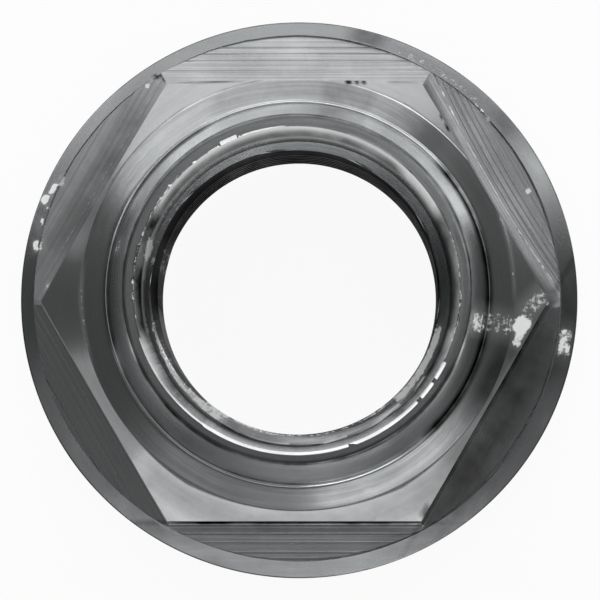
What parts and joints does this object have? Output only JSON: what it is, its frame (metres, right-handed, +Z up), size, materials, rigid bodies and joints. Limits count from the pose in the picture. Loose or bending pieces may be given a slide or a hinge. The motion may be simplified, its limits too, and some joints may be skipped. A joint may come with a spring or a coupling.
{
  "type": "serrated flange nut",
  "caption": "Hexagon flange nut with a serrated bearing face, a tapered staking collar and a fine thread.",
  "frame": {"origin": "centre of the bearing face, on the thread's axis", "axes": "+Z up the thread's axis, from the serrated flange to the collar; +Y square to one of the flats"},
  "size_m": [0.0414, 0.0414, 0.018],
  "materials": {
    "steel": "turned and milled bare steel, with fine tool marks and small burrs"
  },
  "bodies": {
    "root": {"nut_body": "steel"}
  },
  "joints": []
}
